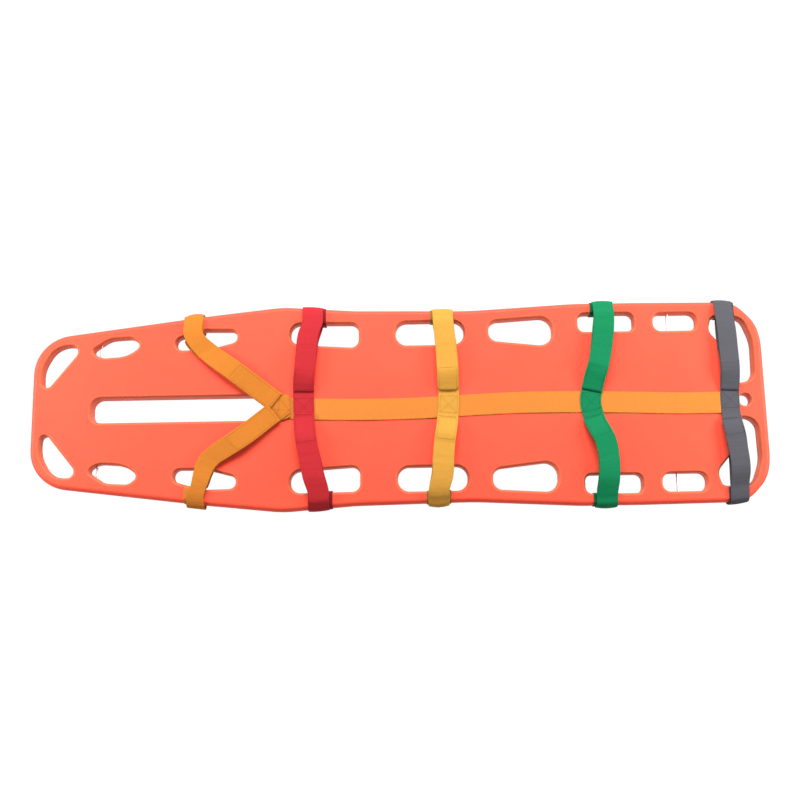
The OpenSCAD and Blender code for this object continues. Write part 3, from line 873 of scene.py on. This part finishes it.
def webbing(name, colour, dark=0.8, rib=0.0017, yarn=0.0021):
    """Herringbone webbing: cords along it, yarns that lie across each cord, and firmer edges."""
    m = Shader(name, Sheen_Weight=0.03, Sheen_Roughness=0.45, Specular_IOR_Level=0.12)
    where = m.add("ShaderNodeTexCoord", output=3)
    split = m.tree.nodes.new("ShaderNodeSeparateXYZ")
    m.feed(split.inputs[0], m.add("ShaderNodeUVMap", uv_map="weave"))
    u, v = split.outputs[0], split.outputs[1]
    zigzag = m.math("PINGPONG", u, rib)
    yarns = m.math("SINE", m.math("MULTIPLY", m.math("ADD", v, zigzag), math.tau / yarn))
    cords = m.math("COSINE", m.math("MULTIPLY", u, math.tau / rib))
    weave = m.math("ADD", m.math("MULTIPLY", yarns, 0.3), m.math("MULTIPLY", cords, 0.2))
    weave = m.math("ADD", weave, 0.5)
    edge = m.spread(m.math("ABSOLUTE", u), 0.0232, 0.0238, 0, 1)
    lines = m.math("MULTIPLY", m.spread(m.math("ABSOLUTE", m.math("SUBTRACT", m.math("ABSOLUTE", u), 0.0215)),
                                        0.0003, 0.0007, 1, 0), 0.35)
    fibres = m.noise(where, 2600, 3, 0.7)
    fading = m.noise(where, 34, 4)
    crumples = m.noise(m.add("ShaderNodeMapping", inputs={0: m.add("ShaderNodeUVMap", uv_map="weave"),
                                                          3: (9, 38, 1)}), 1.0, 3)
    base = m.mix(m.spread(weave, 0.1, 0.9, 0, 1), shade(colour, dark), shade(colour, 1.06))
    base = m.mix(m.spread(fading, 0.32, 0.7, 0, 0.3), base, shade(colour, 0.86))
    base = m.mix(m.math("MULTIPLY", edge, 0.35), base, shade(colour, 0.84))
    base = m.mix(lines, base, shade(colour, 0.82))
    base = m.mix(m.spread(fibres, 0.35, 0.75, 0, 0.25), base, shade(colour, 1.12))
    roughness = m.spread(fibres, 0.3, 0.7, 0.62, 0.86)
    creases = m.bump(crumples, 0.0035, 0.5, m.bump(fading, 0.0006, 0.35))
    woven = m.bump(weave, 0.00022, 0.7, creases)
    return m.done(base, roughness, m.bump(fibres, 0.00007, 0.5, woven))


def tape(name, colour):
    """The pile of a hook or loop patch."""
    m = Shader(name, Sheen_Weight=0.05, Sheen_Roughness=0.5, Specular_IOR_Level=0.08)
    where = m.add("ShaderNodeTexCoord", output=3)
    tufts = m.add("ShaderNodeTexVoronoi", inputs={"Vector": where, "Scale": 900.0})
    fuzz = m.noise(where, 1700, 4, 0.75)
    nap = m.noise(where, 60, 3)
    base = m.mix(m.spread(tufts, 0.1, 0.7, 0, 1), shade(colour, 1.12), shade(colour, 0.7))
    base = m.mix(m.spread(nap, 0.35, 0.65, 0, 0.35), base, shade(colour, 0.82))
    roughness = m.spread(fuzz, 0.3, 0.7, 0.8, 0.95)
    return m.done(base, roughness, m.bump(fuzz, 0.0003, 0.8, m.bump(tufts, 0.0004, 0.8)))


def metal(name, colour, roughness, grain=(1, 60, 1)):
    """Drawn bar or tube, with fine lines and dull spots."""
    m = Shader(name, Metallic=1.0)
    where = m.add("ShaderNodeTexCoord", output=3)
    lines = m.noise(m.add("ShaderNodeMapping", inputs={0: where, 3: grain}), 220, 3)
    spots = m.noise(where, 130, 4)
    base = m.mix(m.spread(spots, 0.35, 0.7, 0, 1), shade(colour, 1.0), shade(colour, 0.82))
    rough = m.math("ADD", m.spread(lines, 0.3, 0.7, roughness, roughness + 0.14),
                   m.spread(spots, 0.5, 0.7, 0, 0.1))
    return m.done(base, rough, m.bump(lines, 0.00004, 0.5))


def foam(name, colour):
    m = Shader(name, Specular_IOR_Level=0.2)
    where = m.add("ShaderNodeTexCoord", output=3)
    cells = m.add("ShaderNodeTexVoronoi", inputs={"Vector": where, "Scale": 700.0})
    base = m.mix(m.spread(cells, 0, 0.8, 0, 1), shade(colour, 0.8), shade(colour, 1.05))
    return m.done(base, m.spread(cells, 0, 1, 0.75, 0.95), m.bump(cells, 0.0004, 0.9))


def floor_paper(name):
    """Bright studio paper: it glows a little, so that it stays white under the board."""
    m = Shader(name, Emission_Strength=1.0, Specular_IOR_Level=0.0)
    where = m.add("ShaderNodeTexCoord", output=3)
    grain = m.noise(where, 500, 2)
    m.feed(m.shader.inputs["Emission Color"], (1, 1, 1, 1))
    base = m.mix(m.spread(grain, 0.3, 0.7, 0, 1), (0.05, 0.05, 0.05, 1), (0.06, 0.06, 0.06, 1))
    return m.done(base, 0.9, m.bump(grain, 0.0001, 0.2))


COLOURS = {
    "orange_webbing": (0.57, 0.18, 0.028),
    "yoke_webbing": (0.49, 0.153, 0.016),
    "red_webbing": (0.415, 0.016, 0.0225),
    "yellow_webbing": (0.53, 0.258, 0.037),
    "green_webbing": (0.001, 0.172, 0.062),
    "grey_webbing": (0.069, 0.067, 0.078),
}
TAPES = {
    "yoke_loop_tape": (0.5, 0.14, 0.025),
    "chest_loop_tape": (0.24, 0.007, 0.012),
    "hip_loop_tape": (0.3, 0.12, 0.02),
    "thigh_loop_tape": (0.002, 0.05, 0.022),
    "ankle_loop_tape": (0.05, 0.047, 0.056),
    "hook_tape": (0.024, 0.024, 0.027),
}
TURN_SHADE = 0.5                      # how much darker the turns round the rails are painted, as shade
# Thread is the webbing's colour darkened, which paints shade along the stitch lines.
THREADS = {slot: tuple(c * 0.7 for c in colour) for slot, colour in COLOURS.items()}

board_plastic = plastic("board_plastic", (0.90, 0.078, 0.039))
plug_plastic = plastic("plug_plastic", (0.5, 0.03, 0.012), 0.5)
steel = metal("pin_steel", (0.8, 0.8, 0.81), 0.36)
aluminium = metal("tube_aluminium", (0.8, 0.81, 0.82), 0.3)
core_foam = foam("rigid_foam", (0.78, 0.62, 0.32))
webs = {slot: webbing(slot, colour) for slot, colour in COLOURS.items()}
# Darker copies of each webbing for the turns round the rails: painted shade.
shaded = {slot: webbing(slot + "_soiled", tuple(c * TURN_SHADE for c in colour))
          for slot, colour in COLOURS.items()}
tapes = {slot: tape(slot, colour) for slot, colour in TAPES.items()}
threads = {slot: tape(slot + "_thread", colour) for slot, colour in THREADS.items()}

# ---------- camera, light and floor ----------


def camera():
    """From the right side, high above the board, with the narrow end to the left."""
    elevation, distance, roll = math.radians(78.8), 2.763, math.radians(0.99)
    target = Vector((0.0033, 0.0133, DECK * MM))
    right = Vector((1, 0, 0))
    forward = Vector((0, math.cos(elevation), -math.sin(elevation)))
    up = right.cross(forward)
    turned_right = right * math.cos(roll) - up * math.sin(roll)
    turned_up = right * math.sin(roll) + up * math.cos(roll)
    data = bpy.data.cameras.new("camera")
    data.sensor_width = 36
    data.lens = 49.95
    data.clip_start, data.clip_end = 0.05, 60
    obj = bpy.data.objects.new("camera", data)
    bpy.context.scene.collection.objects.link(obj)
    pose = Matrix((turned_right, turned_up, -forward)).transposed().to_4x4()
    pose.translation = target - forward * distance
    obj.matrix_world = pose
    bpy.context.scene.camera = obj


def softbox(name, stand, aim, size, power):
    data = bpy.data.lights.new(name, "AREA")
    data.shape = "RECTANGLE"
    data.size, data.size_y = size
    data.energy = power
    obj = bpy.data.objects.new(name, data)
    bpy.context.scene.collection.objects.link(obj)
    obj.location = stand
    obj.rotation_euler = (Vector(aim) - Vector(stand)).to_track_quat("-Z", "Y").to_euler()


def studio():
    bm = bmesh.new()
    bmesh.ops.create_grid(bm, x_segments=2, y_segments=2, size=4000)
    floor = finish_mesh(bm, "studio_floor", floor_paper("studio_paper"), smooth=False)
    world = bpy.data.worlds.new("studio")
    world.use_nodes = True
    world.node_tree.nodes["Background"].inputs[0].default_value = (1, 1, 1, 1)
    world.node_tree.nodes["Background"].inputs[1].default_value = 0.25
    bpy.context.scene.world = world
    softbox("key", (0, 2.0, 1.9), (0, 0, 0), (2.6, 1.2), 140)
    softbox("end_narrow", (-1.9, 0.15, 0.85), (-0.3, 0, 0), (0.9, 0.7), 30)
    softbox("end_wide", (1.9, 0.15, 0.85), (0.3, 0, 0), (0.9, 0.7), 30)
    bpy.context.scene.view_settings.view_transform = "Standard"


# ---------- the pieces ----------


def place(piece, body, nodes, slot):
    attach(piece, body)
    if nodes:
        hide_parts(*nodes)


def board():
    place(moulding("board_skin", board_plastic), "board", ["board_shell"], "board_plastic")
    place(moulding("board_core", core_foam, SKIN), "board", ["foam_core"], "rigid_foam")
    for end, x in zip(("head", "foot"), PLUG_X):
        profile = [(PLUG_R / 2, BELLY_Z + 7.5), (PLUG_R / 2, BELLY_Z + PLUG_T),
                   (PLUG_R - 0.4, BELLY_Z + PLUG_T), (PLUG_R, BELLY_Z + PLUG_T - 0.4),
                   (PLUG_R, BELLY_Z + 0.5), (PLUG_R - 0.5, BELLY_Z),
                   (PLUG_R - 3, BELLY_Z), (PLUG_R - 3.5, BELLY_Z + 0.6), (PLUG_R - 4.2, BELLY_Z + 0.6),
                   (PLUG_R - 4.7, BELLY_Z), (4, BELLY_Z), (3, BELLY_Z + 1.2), (1, BELLY_Z + 1.5)]
        plug = lathe(f"fill_plug_{end}_turned", plug_plastic, (x, 0), profile)
        place(plug, "board", [f"fill_plug_{end}"], "plug_plastic")
    for side in SIDES:
        for end in ("head", "foot"):
            dress(f"clip_pin_{end}_{side}", steel)
        dress(f"stiffener_tube_{side}", aluminium)


def dress(node, material):
    """Gives a CAD node that keeps its shape a better material."""
    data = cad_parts[node].data
    data.materials.clear()
    data.materials.append(material)


def spine():
    x = np.linspace(SPINE[0][0], SPINE[-1][0], 290)
    y = smooth(SPINE, x)[:, 0]
    z = DECK + HUG + 0.45 * (1 - np.cos(x / 23)) * np.abs(np.sin(x / 71))
    c = np.column_stack([x, y, z])
    ribbon = Ribbon(c, np.tile((0, -1, 0), (len(x), 1)), halves=np.full(len(x), 27.0))
    piece = ribbon.mesh("spine_webbing", webs["orange_webbing"])
    place(piece, "board", ["spine_strap"], "orange_webbing")


def fold_blend(piece, rail, side, body):
    """A tail follows the board up the rail's outer side and its flap from the fold on."""
    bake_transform(piece, "board", body,
             start=Vector((rail.x, side * (rail.edge + 4), DECK - 10)) * MM,
             end=Vector((rail.x, side * (rail.edge - FOLD_INSET), DECK + 4)) * MM)


def cross_strap(name):
    spec = STRAPS[name]
    web, yarn = webs[spec["web"]], threads[spec["web"]]
    loop_slot = f"{name}_loop_tape"
    halves = {side: CrossStrap(name, value) for side, value in SIDES.items()}
    left = halves["left"].strap_half()
    whole = joined(left, halves["right"].strap_half().mirror(RIGHT))
    place(whole.mesh(f"{name}_webbing", web), "board", [f"{name}_strap"], spec["web"])
    middle = left.s[-1]
    sewn = stitch_box(whole, middle - 21, middle + 21, 21, WEB_T / 2)
    loops = []
    for side, half in halves.items():
        turn = turn_ribbon(half.rail, half.side, *spec["turn"][half.index])
        # The turn is drawn in the darker copy of its webbing, which paints in its shade.
        place(turn.mesh(f"{name}_turn_{side}", shaded[spec["web"]]), "board",
              [f"{name}_rail_turn_{side}"], spec["web"])
        start = half.end + (PRESSED if half.press else 2)
        loop = half.layer(start, LOOP_END, (WEB_T + PATCH_T) / 2 + 0.05)
        loops.append(loop.mesh(f"{name}_loop_{side}", tapes[loop_slot], PATCH_T))
        sewn += stitch_box(loop, 2.5, loop.s[-1] - 2.5, 21.5, PATCH_T / 2, cross=False)
        body = f"{name}_flap_{side}"
        hook = half.layer(start + 2, HOOK_END, STACK - (WEB_T + PATCH_T) / 2 - 0.05)
        place(hook.mesh(f"{name}_hook_{side}", tapes["hook_tape"], PATCH_T), body,
              [f"{name}_hook_patch_{side}"], "hook_tape")
        tail = half.tail()
        piece = tail.mesh(f"{name}_flap_webbing_{side}", web)
        fold_blend(piece, half.rail, half.side, body)
        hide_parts(f"{name}_tail_{side}")
        rows = stitch_box(tail, 6, HOOK_END - half.end - 3, 21.5, WEB_T / 2, cross=False)
        for edge in (1.6, 3.2):
            rows += stitch_line(tail, (edge, -23), (edge, 23), WEB_T / 2, 2.2, 2.0)
        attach(thread(f"{name}_flap_stitches_{side}", yarn, rows), body)
    for piece in loops:
        place(piece, "board", [f"{name}_loop_patches"], loop_slot)
    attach(thread(f"{name}_stitches", yarn, sewn), "board")


def trim(obj, at, outward):
    """Cuts webbing off square at a place in plan, and closes the cut."""
    bm = bmesh.new()
    bm.from_mesh(obj.data)
    geometry = bm.verts[:] + bm.edges[:] + bm.faces[:]
    cut = bmesh.ops.bisect_plane(bm, geom=geometry, plane_co=Vector((*at, 0)) * MM,
                                 plane_no=(*outward, 0), clear_outer=True)
    rim = [e for e in cut["geom_cut"] if isinstance(e, bmesh.types.BMEdge)]
    bmesh.ops.holes_fill(bm, edges=rim)
    bm.to_mesh(obj.data)
    bm.free()


def yoke(side):
    arm = YokeArm(side)
    slot = "orange_webbing"
    web, yarn = webs["yoke_webbing"], threads["yoke_webbing"]
    strap = arm.strap()
    piece = strap.mesh(f"yoke_webbing_{side}", web)
    trim(piece, (JUNCTION_X, 0), (1, 0.04))
    trim(piece, (JUNCTION_X, -arm.side * JUNCTION_Y), (0.35, -arm.side))
    place(piece, "board", [f"yoke_strap_{side}"], slot)
    turn = turn_ribbon(arm.rail, arm.side, *arm.spec["turn"])
    place(turn.mesh(f"yoke_turn_{side}", web), "board", [f"yoke_rail_turn_{side}"], slot)
    loop = arm.layer(1, 4, (WEB_T + PATCH_T) / 2 + 0.05)
    place(loop.mesh(f"yoke_loop_{side}", tapes["yoke_loop_tape"], PATCH_T), "board",
          ["yoke_loop_patches"], "yoke_loop_tape")
    body = f"yoke_flap_{side}"
    hook = arm.layer(1, 3, STACK - (WEB_T + PATCH_T) / 2 - 0.05)
    place(hook.mesh(f"yoke_hook_{side}", tapes["hook_tape"], PATCH_T), body,
          [f"yoke_hook_patch_{side}"], "hook_tape")
    tail = arm.tail()
    piece = tail.mesh(f"yoke_flap_webbing_{side}", web)
    fold_blend(piece, arm.rail, arm.side, body)
    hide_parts(f"yoke_tail_{side}")
    rows = stitch_box(tail, 5, 130, 21.5, WEB_T / 2, cross=False)
    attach(thread(f"yoke_flap_stitches_{side}", yarn, rows), body)
    if side == "right":
        box = stitch_box(strap, 26, 66, 20, WEB_T / 2)
        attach(thread("yoke_stitches", yarn, box), "board")


camera()
studio()
board()
spine()
for side in SIDES:
    yoke(side)
for name in STRAPS:
    cross_strap(name)
